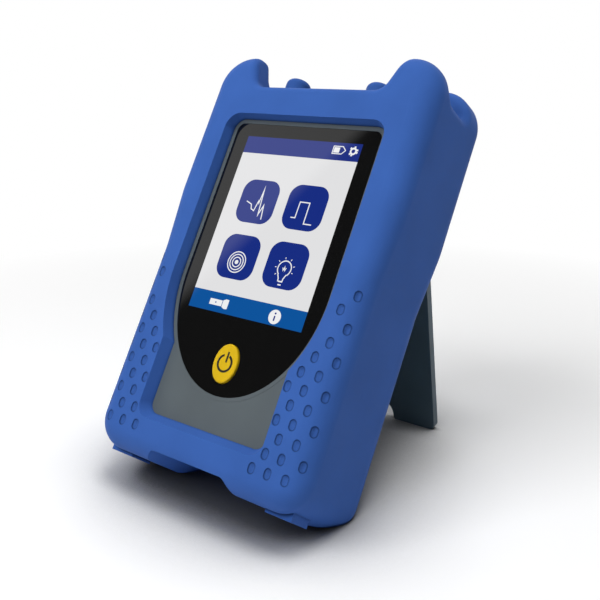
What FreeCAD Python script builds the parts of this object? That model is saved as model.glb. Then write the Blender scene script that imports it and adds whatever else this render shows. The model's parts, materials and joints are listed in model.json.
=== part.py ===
import FreeCAD, Part
import math
import os

# Hand-held optical time domain reflectometer, standing on its kickstand.
# Each piece is modelled upright: X to the right, Y from the face to the back,
# Z up, with Y = 0 on the front plane of the protective boot and Z = 0 under its
# heel. At the end the whole instrument leans back until the heel and the tip of
# the kickstand touch the ground. All sizes are in millimetres and degrees.

os.makedirs("parts", exist_ok=True)
V = FreeCAD.Vector

# ---- driving dimensions: protective boot ----
BOOT_HALF_LOW = 49.0        # half width beside the grip
BOOT_HALF_HIGH = 51.1       # half width beside the display
BOOT_DEPTH = 46.0           # front plane to back plane
BOOT_EDGE = 8.0             # roundness of the long edges
BOOT_CORNER = 12.0          # roundness of the two lower corners
SWELL_LOW = 83.0            # the flank starts to widen at this height
SWELL_HIGH = 107.0          # and has widened fully here
FLANK_ROUND = 40.0          # radius of the two bends where it widens
EAR_FRONT_RISE = 18.1       # ears above the top of the housing, on the front plane
EAR_BACK_RISE = 21.0        # and on the back plane
EAR_SHOULDER = 14.6         # roundness of their outer shoulders
EAR_FOOT = 29.0             # foot of an ear, beside the connector bay
EAR_FLANK = 22.0            # its inner flank leans out by this angle
EAR_INNER_ROUND = 5.0
EAR_SOFT = 3.0              # roundness of the ears' inner edges
BAY_RISE = 3.7              # edge of the boot between the ears, above the housing
BAY_WALL = 5.4              # front and back walls of the connector bay
SOLE_FRONT = 3.3            # the sole rises towards the face
HEEL_RADIUS = 20.0          # large round behind the sole
CHANNEL_TOP = 6.8           # channel under the sole
CHANNEL_HALF_TOP = 17.0
CHANNEL_HALF_LOW = 24.0
CHANNEL_ROUND = 2.5
VALLEY_FRONT = 12.4         # gap in the side walls between front and rear ears
VALLEY_BACK = 29.4
VALLEY_RISE = 6.5           # its floor above the top of the housing
VALLEY_ROUND = 4.0
VALLEY_SOFT = 3.5           # roundness of the edges along the gap
FOOT_INNER = 32.5           # two low feet under the front of the sole
FOOT_OUTER = 43.5
FOOT_FRONT = 9.0
FOOT_BACK = 20.0
FOOT_HIGH = 1.2
# grip dimples: how far in from the flank each column lies, and how many it has
DIMPLE_COLUMNS = ((3.0, 6), (7.0, 6), (10.8, 4), (14.2, 4), (17.6, 3), (21.0, 1))
DIMPLE_PITCH = 11.7         # from one grip dimple to the next above it
DIMPLE_LOW = 13.3           # height of the lowest grip dimple
DIMPLE_HALF = 1.35
DIMPLE_LONG = 3.9
DIMPLE_DEEP = 0.6
BOOT_WALL = 3.5             # rubber beside the housing
BOOT_BACK = 4.0             # and behind it, where the folded kickstand lies
WINDOW_DEPTH = 4.4          # front plane of the boot down to the cover glass

# ---- driving dimensions: housing ----
HOUSING_BOTTOM = 9.5
HOUSING_EDGE = 3.0
HOUSING_TOP = 150.0
HOUSING_WALL = 2.0
HOUSING_FRONT_WALL = 3.2
HOUSING_CORNER = 8.0
HOUSING_SPLIT = 22.0        # seam between the two halves
GASKET = 0.8
FIT = 0.3                   # running clearance between separate pieces
RIM_PROUD = 0.1             # rim of the front housing round the glass

# ---- driving dimensions: face ----
GLASS_HALF = 33.5
GLASS_TOP = 138.6
GLASS_WAIST = 75.3          # the straight sides end here
GLASS_DROP = 43.0           # and the elliptical chin reaches this far below
GLASS_THICK = 1.6
GLASS_CORNER = 3.0
RIM_WIDTH = 1.8
DISPLAY_WIDTH = 53.64       # 3.5 inch display, 3:4 upright
DISPLAY_HEIGHT = 71.52
DISPLAY_TOP = 133.3
PANEL_HALF = 27.3           # grey face below the glass
PANEL_BOTTOM = 19.3
PANEL_CORNER = 4.0
WINDOW_FLARE = 1.4          # the window widens by this towards the front
WINDOW_FLARE_TOP = 0.7
WINDOW_FLARE_END = 2.4
BUTTON_DROP = 31.0          # middle of the button below the waist of the glass
BUTTON_HALF_X = 5.41
BUTTON_HALF_Z = 7.35
BUTTON_PROUD = 0.9
BUTTON_TRAVEL = 0.6
BUTTON_STEM_END = 10.0

# ---- driving dimensions: connector bay ----
PORT_X = (-20.6, 18.2)
PORT_Y = 16.0
PORT_BARREL = 4.0
PORT_BARREL_LONG = 8.0
PORT_BORE = 2.5             # a ferrule of this diameter plugs in
SLEEVE_RADIUS = 1.65
SLEEVE_INSET = 2.0
PANEL_THICK = 1.5
PANEL_SCREW_SIDE = 3.0      # panel screws in from the foot of the ears
PANEL_SCREW_BEHIND = 10.0   # the front pair behind the ports
PANEL_SCREW_BACK = 3.6      # the back pair before the back wall
PANEL_SCREW_LONG = 3.2
FLANGE_HALF = 6.2           # square flange of a fibre adapter
BODY_LONG = 9.0             # adapter below the top of the panel
THREAD_LOW = 2.0            # four thread grooves round the barrel
THREAD_PITCH = 1.5
THREAD_WIDE = 0.6
THREAD_DEEP = 0.3
CAP_WALL = 0.9
CAP_LIP = 0.8
CAP_ROUND = 2.6
CAP_HIGH = (10.6, 9.7)      # the caps of the test port and of the light source

# ---- driving dimensions: kickstand ----
STAND_HALF = 37.0
STAND_THICK = 3.5
STAND_LENGTH = 102.1        # hinge axis to tip
STAND_OPEN = 42.4           # angle away from the back
HINGE_Z = 125.6
STAND_SHOULDER = 8.0
STAND_CORNER = 2.5
STAND_NECK_HALF = 31.5
STAND_NOTCH_HALF = 16.5
STAND_NOTCH_HIGH = 10.0
PIN_RADIUS = 1.0
PIN_FIT = 0.15
LUG_WIDE = 4.0
LUG_GAP = 0.7
LUG_RADIUS = 1.9
RECESS_GAP = 0.6            # boot round the folded kickstand
STOP_GAP = 0.08             # heel of the open kickstand to the rear housing

# ---- driving dimensions: inside ----
GLASS_FIT = 0.1
LCD_BEZEL_SIDE = 3.2        # display module beyond its active area
LCD_BEZEL_LOW = 4.3
LCD_BEZEL_TOP = 2.5
LCD_THICK = 3.0
FRAME_THICK = 1.0
FRAME_LAP = 4.2             # the frame reaches this far past the display, below and above
BOARD_Y = 13.5              # front face of the main board
BOARD_THICK = 1.6
BOARD_HALF = 39.2
BOARD_LOW = 21.0
BOARD_HIGH = 136.0
POST_RADIUS = 3.2
POST_INSET = 4.7            # case screws in from the sides, bottom and top of the housing
POST_LOW = 7.0
POST_HIGH = 7.5
BOSS_RADIUS = 2.5
BOSS_INSET = 2.8            # board screws in from the edges of the main board
BOSS_LOW = 4.0
BOSS_HIGH = 5.0
CLIP_RADIUS = 1.8
SCREW_RADIUS = 1.25
SMALL_SCREW_RADIUS = 0.8
HEAD_RADIUS = 2.5
SMALL_HEAD_RADIUS = 1.6
HEAD_DEEP = 2.0
SMALL_HEAD = 1.0
BOARD_SCREW_LONG = 6.0
FRAME_SCREW_LONG = 2.2
LID_SCREW_LONG = 5.0
FRAME_SCREW_X = 24.0
LID_SCREW_INSET = 12.0      # lid screws in from the sides of the battery
MODULE_DROP = 2.0           # optics below the top edge of the board
MODULE_LONG = 40.0
MODULE_DEEP = 12.0
OPTICS_X = (-34.0, 12.0)
SOURCE_X = (15.0, 34.0)
MODULE_GAP = 4.0            # the source module is this much shallower, and starts higher
SOURCE_DROP = 6.0
SHIELD_HALF = 16.0
SHIELD_LOW = 76.0
SHIELD_HIGH = 108.0
SHIELD_THICK = 2.2
BUZZER_RADIUS = 4.5
BUZZER_X = 24.0
BUZZER_Z = 36.0
BUZZER_THICK = 3.0
SPOOL_RADIUS = 24.0
SPOOL_HOLE = 17.0
SPOOL_WIDE = 5.6
SPOOL_Z = 60.0
BATTERY_HALF = 32.0
BATTERY_LOW = 26.0
BATTERY_HIGH = 88.0
BATTERY_FRONT = 23.3
BAY_SKIN = 1.2
BAY_SIDE = 3.4
BAY_END = 6.0
LID_THICK = 2.0
LID_LAP_SIDE = 2.4
LID_LAP_END = 5.0
SOCKET_X = -1.2             # charging socket in the middle of the connector bay
SOCKET_WIDE = 8.0
SOCKET_THICK = 3.0
SOCKET_LONG = 8.5
TONGUE_HALF = 7.0


def at_plane(plane, a, b, level=0.0):
    """Point with the two coordinates of a named plane, at a level across it."""
    if plane == "XZ":
        return V(a, level, b)
    if plane == "YZ":
        return V(level, a, b)
    return V(a, b, level)


def rounded_polygon(corners, plane="XZ", level=0.0):
    """Closed wire through corners (a, b, radius), each with its own tangent arc."""
    joints = []
    count = len(corners)
    for index, (a, b, radius) in enumerate(corners):
        here = V(a, b, 0)
        before = V(*corners[index - 1][:2], 0) - here
        after = V(*corners[(index + 1) % count][:2], 0) - here
        before.normalize()
        after.normalize()
        half = before.getAngle(after) / 2
        trim = radius / math.tan(half)
        middle = before + after
        middle.normalize()
        middle = here + middle * (radius / math.sin(half) - radius)
        joints.append((here + before * trim, middle, here + after * trim, radius))
    edges = []
    for index, (start, middle, end, radius) in enumerate(joints):
        if radius > 0:
            points = [at_plane(plane, p.x, p.y, level) for p in (start, middle, end)]
            edges.append(Part.Arc(*points).toShape())
        following = joints[(index + 1) % count][0]
        if end.distanceToPoint(following) > 1e-6:
            first = at_plane(plane, end.x, end.y, level)
            last = at_plane(plane, following.x, following.y, level)
            edges.append(Part.makeLine(first, last))
    return Part.Wire(edges)


def mirrored(right_half):
    """Full list of corners from those on the right, in order from low to high."""
    left_half = [(-a, b, radius) for a, b, radius in reversed(right_half)]
    return right_half + left_half


def prism(wire, direction):
    return Part.Face(wire).extrude(direction)


def plate(corners, y_front, y_back):
    """Prism along Y over an outline in the XZ plane."""
    return prism(rounded_polygon(corners, "XZ", y_front), V(0, y_back - y_front, 0))


def box(x_low, x_high, y_low, y_high, z_low, z_high):
    size = (x_high - x_low, y_high - y_low, z_high - z_low)
    return Part.makeBox(*size, V(x_low, y_low, z_low))


def along_x(corners):
    """Prism right through the boot over an outline in the YZ plane."""
    reach = BOOT_HALF_HIGH + 1
    return prism(rounded_polygon(corners, "YZ", -reach), V(2 * reach, 0, 0))


def rectangle(half, z_low, z_high, radius):
    return mirrored([(half, z_low, radius), (half, z_high, radius)])


def tube_y(radius, y_front, y_back, x, z):
    return Part.makeCylinder(radius, y_back - y_front, V(x, y_front, z), V(0, 1, 0))


def tube_z(radius, z_low, z_high, x, y):
    return Part.makeCylinder(radius, z_high - z_low, V(x, y, z_low))


def oval_wire(half_x, half_z, y, z):
    """Upright oval in the XZ plane; half_z is the larger half axis."""
    lowest = V(0, y, z - half_z)
    return Part.Wire(Part.Ellipse(lowest, V(half_x, y, z), V(0, y, z)).toShape())


def oval_prism(half_x, half_z, y_front, y_back, z):
    return prism(oval_wire(half_x, half_z, y_front, z), V(0, y_back - y_front, 0))


def chin_wire(half, top, drop, corner, y):
    """Outline of the face: straight sides, round top corners, elliptical chin."""
    oval = Part.Ellipse(V(0, y, GLASS_WAIST - drop), V(half, y, GLASS_WAIST), V(0, y, GLASS_WAIST))
    chin = Part.ArcOfEllipse(oval, -math.pi / 2, math.pi / 2).toShape()
    lean = corner * (1 - math.sqrt(0.5))
    right = V(half, y, GLASS_WAIST)
    right_high = V(half, y, top - corner)
    right_arc = V(half - lean, y, top - lean)
    right_top = V(half - corner, y, top)
    left, left_high, left_arc, left_top = (
        V(-p.x, p.y, p.z) for p in (right, right_high, right_arc, right_top))
    edges = [
        chin,
        Part.makeLine(right, right_high),
        Part.Arc(right_high, right_arc, right_top).toShape(),
        Part.makeLine(right_top, left_top),
        Part.Arc(left_top, left_arc, left_high).toShape(),
        Part.makeLine(left_high, left),
    ]
    return Part.Wire(Part.__sortEdges__(edges))


def flared(wire_front, wire_back):
    """Solid between two outlines of the same kind, with straight sloping flanks."""
    return Part.makeLoft([wire_front, wire_back], True, True)


def soften(shape, radius, chosen):
    """Round the edges for which chosen(edge's bounding box) holds."""
    return shape.makeFillet(radius, [edge for edge in shape.Edges if chosen(edge.BoundBox)])


def fused(pieces):
    whole = pieces[0]
    for piece in pieces[1:]:
        whole = whole.fuse(piece)
    return whole.removeSplitter()


def without(shape, cutters):
    for cutter in cutters:
        shape = shape.cut(cutter)
    return shape


def both_sides(shape):
    """The shape and its mirror image across the middle plane."""
    return [shape, shape.mirror(V(0, 0, 0), V(1, 0, 0))]


# ---- sizes that follow from the driving dimensions ----
HOUSING_BACK = BOOT_DEPTH - BOOT_BACK
HOUSING_HALF = BOOT_HALF_LOW - BOOT_WALL - FIT
LCD_HALF = DISPLAY_WIDTH / 2 + LCD_BEZEL_SIDE
LCD_LOW = DISPLAY_TOP - DISPLAY_HEIGHT - LCD_BEZEL_LOW
LCD_HIGH = DISPLAY_TOP + LCD_BEZEL_TOP
FRAME_Y = WINDOW_DEPTH + GLASS_THICK + LCD_THICK
BOARD_BACK = BOARD_Y + BOARD_THICK
HINGE_Y = HOUSING_BACK + FIT + STAND_THICK / 2
HINGE_HALF = STAND_NECK_HALF + LUG_GAP + LUG_WIDE
EAR_FRONT_TOP = HOUSING_TOP + EAR_FRONT_RISE
EAR_BACK_TOP = HOUSING_TOP + EAR_BACK_RISE
BAY_LEVEL = HOUSING_TOP + BAY_RISE
VALLEY_FLOOR = HOUSING_TOP + VALLEY_RISE
BUTTON_Z = GLASS_WAIST - BUTTON_DROP
SOLE_RISE = SOLE_FRONT / (BOOT_DEPTH - HEEL_RADIUS)
PANEL_TOP = HOUSING_TOP + PANEL_THICK
FLANGE_TOP = PANEL_TOP + PANEL_THICK
PORT_TOP = FLANGE_TOP + PORT_BARREL_LONG
CASE_SCREW_X = HOUSING_HALF - POST_INSET
CASE_SCREWS = [(x, z) for x in (-CASE_SCREW_X, CASE_SCREW_X)
               for z in (HOUSING_BOTTOM + POST_LOW, HOUSING_TOP - POST_HIGH)]
BOARD_SCREW_X = BOARD_HALF - BOSS_INSET
BOARD_SCREWS = [(x, z) for x in (-BOARD_SCREW_X, BOARD_SCREW_X)
                for z in (BOARD_LOW + BOSS_LOW, BOARD_HIGH - BOSS_HIGH)]
MODULE_HIGH = BOARD_HIGH - MODULE_DROP
MODULE_LOW = MODULE_HIGH - MODULE_LONG
FRAME_SCREWS = [(x, z) for x in (-FRAME_SCREW_X, FRAME_SCREW_X)
                for z in (LCD_LOW - FRAME_LAP / 2, LCD_HIGH + FRAME_LAP / 2)]
LID_SCREW_X = BATTERY_HALF - LID_SCREW_INSET
LID_SCREWS = [(x, z) for x in (-LID_SCREW_X, LID_SCREW_X)
              for z in (BATTERY_LOW - LID_LAP_END / 2 - FIT, BATTERY_HIGH + LID_LAP_END / 2 + FIT)]
PANEL_SCREW_X = EAR_FOOT - PANEL_SCREW_SIDE
PANEL_SCREWS = [(x, y) for x in (-PANEL_SCREW_X, PANEL_SCREW_X)
                for y in (PORT_Y + PANEL_SCREW_BEHIND, BOOT_DEPTH - BAY_WALL - PANEL_SCREW_BACK)]


# ---- protective boot ----

def boot_outline(bottom, top, y):
    """Front or back outline of the boot, wider beside the display."""
    right = [
        (BOOT_HALF_LOW, bottom, BOOT_CORNER),
        (BOOT_HALF_LOW, SWELL_LOW, FLANK_ROUND),
        (BOOT_HALF_HIGH, SWELL_HIGH, FLANK_ROUND),
        (BOOT_HALF_HIGH, top, EAR_SHOULDER),
    ]
    return rounded_polygon(mirrored(right), "XZ", y)


def boot_body():
    """Rubber block with its flanks, ears, heel and sole, before it is hollowed."""
    sole_back = SOLE_FRONT - BOOT_DEPTH * SOLE_RISE
    front = boot_outline(SOLE_FRONT, EAR_FRONT_TOP, 0)
    back = boot_outline(sole_back, EAR_BACK_TOP, BOOT_DEPTH)
    body = Part.makeLoft([front, back], True, True)
    body = soften(body, BOOT_EDGE, lambda b: b.YLength < 1e-3)
    heel = [
        (-1, sole_back - 1, 0),
        (BOOT_DEPTH - HEEL_RADIUS, sole_back - 1, 0),
        (BOOT_DEPTH - HEEL_RADIUS, 0, 0),
        (BOOT_DEPTH, 0, HEEL_RADIUS - 1e-3),
        (BOOT_DEPTH, EAR_BACK_TOP + 1, 0),
        (-1, EAR_BACK_TOP + 1, 0),
    ]
    return body.common(along_x(heel))


def ears(body):
    """Cut the block down between its four ears and round the edges of the cuts."""
    lean = math.tan(math.radians(EAR_FLANK))
    above = EAR_BACK_TOP + 5
    right = [
        (EAR_FOOT, BAY_LEVEL, EAR_INNER_ROUND),
        (EAR_FOOT + (above - BAY_LEVEL) * lean, above, 0),
    ]
    body = body.cut(plate(mirrored(right), -1, BOOT_DEPTH + 1))

    def on_flank(edge):
        middle = edge.valueAt((edge.FirstParameter + edge.LastParameter) / 2)
        flank = EAR_FOOT + (middle.z - BAY_LEVEL) * lean
        return edge.BoundBox.ZMax > BAY_LEVEL + 2 and abs(abs(middle.x) - flank) < 0.9

    body = body.makeFillet(EAR_SOFT, [edge for edge in body.Edges if on_flank(edge)])
    valley = [
        (VALLEY_FRONT, VALLEY_FLOOR, VALLEY_ROUND),
        (VALLEY_BACK, VALLEY_FLOOR, VALLEY_ROUND),
        (VALLEY_BACK, above, 0),
        (VALLEY_FRONT, above, 0),
    ]
    body = body.cut(along_x(valley))

    def on_gap(b):
        between = b.YMin > VALLEY_FRONT - 1e-3 and b.YMax < VALLEY_BACK + 1e-3
        crease = b.YLength < 1e-3 and b.ZLength < 1e-3
        return between and b.ZMin > VALLEY_FLOOR - 1e-3 and not crease

    return soften(body, VALLEY_SOFT, on_gap)


def bay_cutters():
    """The open bay round the connectors, and its gap below the valleys."""
    above = EAR_BACK_TOP + 5
    below = HOUSING_TOP - 1
    room = box(-EAR_FOOT, EAR_FOOT, BAY_WALL, BOOT_DEPTH - BAY_WALL, below, above)
    half = BOOT_HALF_LOW - BOOT_WALL
    gap = box(-half, half, VALLEY_FRONT, VALLEY_BACK, below, above)
    return [room, gap]


def grip_dimples():
    """Rows of short upright hollows down both rounded front edges of the boot."""
    radius = (DIMPLE_HALF ** 2 + DIMPLE_DEEP ** 2) / (2 * DIMPLE_DEEP)
    reach = DIMPLE_LONG / 2 - DIMPLE_HALF
    lift = radius - DIMPLE_DEEP
    dimples = []
    for column, (inset, count) in enumerate(DIMPLE_COLUMNS):
        turn = math.asin(max(0, BOOT_EDGE - inset) / BOOT_EDGE)
        x_axis = BOOT_HALF_LOW - inset + math.sin(turn) * lift
        y_axis = BOOT_EDGE * (1 - math.cos(turn)) - math.cos(turn) * lift
        first = DIMPLE_LOW + (1 - column % 2) * DIMPLE_PITCH / 2
        for row in range(count):
            z = first + row * DIMPLE_PITCH
            middle = tube_z(radius, z - reach, z + reach, x_axis, y_axis)
            ends = [Part.makeSphere(radius, V(x_axis, y_axis, z + end)) for end in (-reach, reach)]
            dimples += both_sides(fused([middle] + ends))
    return dimples


def sole_feet():
    """Two low feet under the front of the sole, parallel to it."""
    corners = []
    for y, above in ((FOOT_FRONT, 0), (FOOT_FRONT, 1), (FOOT_BACK, 1), (FOOT_BACK, 0)):
        sole = SOLE_FRONT - y * SOLE_RISE
        corners.append((y, sole + 2 if above else sole - FOOT_HIGH, 0))
    foot = prism(rounded_polygon(corners, "YZ", FOOT_INNER), V(FOOT_OUTER - FOOT_INNER, 0, 0))
    return both_sides(foot)


def window_cutters():
    """Flared window over the glass and the grey face below it."""
    half = GLASS_HALF + RIM_WIDTH
    top = GLASS_TOP + RIM_WIDTH
    drop = GLASS_DROP + RIM_WIDTH
    corner = GLASS_CORNER + RIM_WIDTH
    wide = chin_wire(half + WINDOW_FLARE, top + WINDOW_FLARE_TOP, drop + WINDOW_FLARE_END,
                     corner + WINDOW_FLARE, 0)
    narrow = chin_wire(half, top, drop, corner, WINDOW_DEPTH)
    upper = flared(wide, narrow)
    wide = rectangle(PANEL_HALF + WINDOW_FLARE_END, PANEL_BOTTOM - WINDOW_FLARE_END, GLASS_WAIST,
                     PANEL_CORNER + WINDOW_FLARE)
    narrow = rectangle(PANEL_HALF, PANEL_BOTTOM, GLASS_WAIST, PANEL_CORNER)
    lower = flared(rounded_polygon(wide, "XZ", 0), rounded_polygon(narrow, "XZ", WINDOW_DEPTH))
    return [upper, lower]


def housing_block(grow, y_front, y_back):
    """Rounded block of the housing, grown or shrunk all round."""
    outline = rectangle(HOUSING_HALF + grow, HOUSING_BOTTOM - grow, HOUSING_TOP + grow,
                        HOUSING_CORNER + grow)
    return plate(outline, y_front, y_back)


def stand_recess():
    """Opening in the back of the boot in which the folded kickstand lies."""
    low = HINGE_Z - STAND_LENGTH - RECESS_GAP
    high = HINGE_Z + STAND_THICK / 2 + RECESS_GAP
    half = STAND_HALF + RECESS_GAP
    outline = mirrored([(half, low, STAND_CORNER + RECESS_GAP), (half, high, LUG_GAP)])
    return plate(outline, HOUSING_BACK - 1, BOOT_DEPTH + 1)


def sole_channel():
    """Channel along the middle of the sole, narrower at its top."""
    right = [
        (CHANNEL_HALF_LOW, -1, 0),
        (CHANNEL_HALF_TOP, CHANNEL_TOP, CHANNEL_ROUND),
    ]
    return plate(mirrored(right), -1, BOOT_DEPTH + 1)


def protective_boot():
    cavity = housing_block(FIT, WINDOW_DEPTH, HOUSING_BACK + FIT)
    shape = fused([ears(boot_body())] + sole_feet())
    cutters = [cavity, stand_recess(), sole_channel()]
    return without(shape, cutters + bay_cutters() + window_cutters() + grip_dimples())


# ---- housing ----

def face_pocket(grow, y_front, y_back):
    """Space under the outline of the cover glass."""
    wire = chin_wire(GLASS_HALF + grow, GLASS_TOP + grow, GLASS_DROP + grow,
                     GLASS_CORNER + grow, y_front)
    return prism(wire, V(0, y_back - y_front, 0))


def front_housing():
    floor = WINDOW_DEPTH + HOUSING_FRONT_WALL
    seam = HOUSING_SPLIT - GASKET / 2
    shape = housing_block(0, WINDOW_DEPTH, seam)
    shape = soften(shape, HOUSING_EDGE, lambda b: b.YMax < WINDOW_DEPTH + 1e-3)
    shape = shape.cut(housing_block(-HOUSING_WALL, floor, seam))
    rim = face_pocket(RIM_WIDTH - FIT, WINDOW_DEPTH - RIM_PROUD, WINDOW_DEPTH)
    posts = [tube_y(POST_RADIUS, floor, seam, x, z) for x, z in CASE_SCREWS]
    bosses = [tube_y(BOSS_RADIUS, floor, BOARD_Y, x, z) for x, z in BOARD_SCREWS]
    clips = [tube_y(CLIP_RADIUS, floor, FRAME_Y, x, z) for x, z in FRAME_SCREWS]
    shape = fused([shape, rim] + posts + bosses + clips)
    holes = [tube_y(SCREW_RADIUS, floor + 1, seam, x, z) for x, z in CASE_SCREWS]
    holes += [tube_y(SMALL_SCREW_RADIUS, floor, BOARD_Y, x, z) for x, z in BOARD_SCREWS]
    holes += [tube_y(SMALL_SCREW_RADIUS, floor, FRAME_Y, x, z) for x, z in FRAME_SCREWS]
    glass = face_pocket(GLASS_FIT, WINDOW_DEPTH - RIM_PROUD, WINDOW_DEPTH + GLASS_THICK)
    display = plate(rectangle(LCD_HALF + FIT, LCD_LOW - FIT, LCD_HIGH + FIT, 1.0),
                    WINDOW_DEPTH, floor)
    button = button_oval(FIT, WINDOW_DEPTH, floor)
    ports = [tube_z(PORT_BARREL + FIT, HOUSING_TOP - HOUSING_WALL, HOUSING_TOP, x, PORT_Y)
             for x in PORT_X]
    return without(shape, holes + [glass, display, button, socket_hole()] + ports)


def rear_housing():
    seam = HOUSING_SPLIT + GASKET / 2
    floor = HOUSING_BACK - HOUSING_WALL
    shape = housing_block(0, seam, HOUSING_BACK)
    shape = soften(shape, HOUSING_EDGE, lambda b: b.YMin > HOUSING_BACK - 1e-3)
    shape = shape.cut(housing_block(-HOUSING_WALL, seam, floor))
    posts = [tube_y(POST_RADIUS, seam, floor, x, z) for x, z in CASE_SCREWS]
    bay = plate(rectangle(BATTERY_HALF + BAY_SIDE, BATTERY_LOW - BAY_END, BATTERY_HIGH + BAY_END,
                          1.0), BATTERY_FRONT - FIT - BAY_SKIN, floor)
    shape = fused([shape, bay] + posts + stand_lugs())
    room = plate(rectangle(BATTERY_HALF + FIT, BATTERY_LOW - FIT, BATTERY_HIGH + FIT, 1.0),
                 BATTERY_FRONT - FIT, HOUSING_BACK)
    seat = plate(lid_outline(FIT), HOUSING_BACK - LID_THICK, HOUSING_BACK)
    contacts = contact_block(FIT)
    holes = [tube_y(SCREW_RADIUS, seam, HOUSING_BACK, x, z) for x, z in CASE_SCREWS]
    heads = [tube_y(HEAD_RADIUS + FIT, HOUSING_BACK - HEAD_DEEP, HOUSING_BACK, x, z)
             for x, z in CASE_SCREWS]
    lid_holes = [tube_y(SMALL_SCREW_RADIUS, HOUSING_BACK - LID_THICK - 4, HOUSING_BACK, x, z)
                 for x, z in LID_SCREWS]
    panel_holes = [tube_z(SMALL_SCREW_RADIUS, HOUSING_TOP - HOUSING_WALL, HOUSING_TOP, x, y)
                   for x, y in PANEL_SCREWS]
    pin = hinge_axis(PIN_RADIUS, HINGE_HALF)
    cutters = [room, seat, contacts, pin] + holes + heads + lid_holes + panel_holes
    return without(shape, cutters)


def housing_gasket():
    front = HOUSING_SPLIT - GASKET / 2
    back = HOUSING_SPLIT + GASKET / 2
    inner = housing_block(-HOUSING_WALL, front, back)
    return housing_block(-FIT, front, back).cut(inner)


def lid_outline(grow):
    return rectangle(BATTERY_HALF + LID_LAP_SIDE + grow, BATTERY_LOW - LID_LAP_END - grow,
                     BATTERY_HIGH + LID_LAP_END + grow, 2.0)


def battery_lid():
    shape = plate(lid_outline(0), HOUSING_BACK - LID_THICK, HOUSING_BACK)
    holes = [tube_y(SMALL_SCREW_RADIUS, 0, BOOT_DEPTH, x, z) for x, z in LID_SCREWS]
    heads = [tube_y(SMALL_HEAD_RADIUS + FIT, HOUSING_BACK - SMALL_HEAD, HOUSING_BACK, x, z)
             for x, z in LID_SCREWS]
    ridges = [BATTERY_HIGH - 14 + 3 * ridge for ridge in range(3)]
    grip = [box(-9, 9, HOUSING_BACK - 0.6, HOUSING_BACK, z, z + 1.0) for z in ridges]
    return without(shape, holes + heads + grip)


def screw_y(x, z, seat, length, shank, head, head_high):
    """Screw along Y driven from the back, its head seated at y = seat."""
    body = tube_y(shank, seat - length, seat, x, z)
    return body.fuse(tube_y(head, seat, seat + head_high, x, z)).removeSplitter()


def case_screws():
    seat = HOUSING_BACK - HEAD_DEEP
    length = seat - WINDOW_DEPTH - HOUSING_FRONT_WALL - 3
    return [screw_y(x, z, seat, length, SCREW_RADIUS, HEAD_RADIUS, HEAD_DEEP - FIT)
            for x, z in CASE_SCREWS]


def board_screws():
    return [screw_y(x, z, BOARD_BACK, BOARD_SCREW_LONG, SMALL_SCREW_RADIUS, SMALL_HEAD_RADIUS, SMALL_HEAD)
            for x, z in BOARD_SCREWS]


def display_screws():
    seat = FRAME_Y + FRAME_THICK
    return [screw_y(x, z, seat, FRAME_SCREW_LONG, SMALL_SCREW_RADIUS, SMALL_HEAD_RADIUS, SMALL_HEAD)
            for x, z in FRAME_SCREWS]


def lid_screws():
    seat = HOUSING_BACK - SMALL_HEAD
    head = SMALL_HEAD - FIT / 3
    return [screw_y(x, z, seat, LID_SCREW_LONG, SMALL_SCREW_RADIUS, SMALL_HEAD_RADIUS, head)
            for x, z in LID_SCREWS]


# ---- face ----

def button_oval(grow, y_front, y_back):
    return oval_prism(BUTTON_HALF_X + grow, BUTTON_HALF_Z + grow, y_front, y_back, BUTTON_Z)


def cover_glass():
    pane = face_pocket(0, WINDOW_DEPTH, WINDOW_DEPTH + GLASS_THICK)
    return pane.cut(button_oval(FIT, WINDOW_DEPTH, WINDOW_DEPTH + GLASS_THICK))


def power_button():
    """Oval cap with a flange behind the wall and a stem towards its switch."""
    wall_back = WINDOW_DEPTH + HOUSING_FRONT_WALL
    flange = wall_back + FIT
    cap = button_oval(0, WINDOW_DEPTH - BUTTON_PROUD, flange)
    cap = soften(cap, 0.6, lambda b: b.YMax < WINDOW_DEPTH)
    lip = button_oval(1.2, flange, flange + 0.8)
    stem = tube_y(2.0, flange, BUTTON_STEM_END, 0, BUTTON_Z)
    return fused([cap, lip, stem])


def power_switch():
    base = box(-4, 4, BOARD_Y - 1.8, BOARD_Y, BUTTON_Z - 4, BUTTON_Z + 4)
    key = tube_y(1.6, BUTTON_STEM_END + BUTTON_TRAVEL + STOP_GAP, BOARD_Y - 1.8, 0, BUTTON_Z)
    return fused([base, key])


def display_module():
    outline = rectangle(LCD_HALF, LCD_LOW, LCD_HIGH, 0.8)
    return plate(outline, WINDOW_DEPTH + GLASS_THICK, FRAME_Y)


def display_frame():
    """Steel stiffener that holds the display against the glass."""
    outline = rectangle(LCD_HALF, LCD_LOW - FRAME_LAP, LCD_HIGH + FRAME_LAP, 2.0)
    shape = plate(outline, FRAME_Y, FRAME_Y + FRAME_THICK)
    opening = plate(rectangle(LCD_HALF - 8, LCD_LOW + 10, LCD_HIGH - 10, 4.0), 0, BOARD_Y)
    holes = [tube_y(SMALL_SCREW_RADIUS, 0, BOARD_Y, x, z) for x, z in FRAME_SCREWS]
    return without(shape, [opening] + holes)


# ---- electronics and optics ----

def main_board():
    """Circuit board with a tongue that carries the charging socket."""
    shape = box(-BOARD_HALF, BOARD_HALF, BOARD_Y, BOARD_BACK, BOARD_LOW, BOARD_HIGH)
    high = HOUSING_TOP - HOUSING_WALL - 1
    tongue = box(SOCKET_X - TONGUE_HALF, SOCKET_X + TONGUE_HALF, BOARD_Y, BOARD_BACK, BOARD_LOW, high)
    holes = [tube_y(SMALL_SCREW_RADIUS, 0, BOOT_DEPTH, x, z) for x, z in BOARD_SCREWS]
    return without(fused([shape, tongue]), holes)


def socket_hole():
    half = SOCKET_WIDE / 2 + FIT
    return box(SOCKET_X - half, SOCKET_X + half, BOARD_BACK - FIT, BOARD_BACK + SOCKET_THICK + FIT,
               HOUSING_TOP - HOUSING_WALL, PANEL_TOP + 1)


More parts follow.
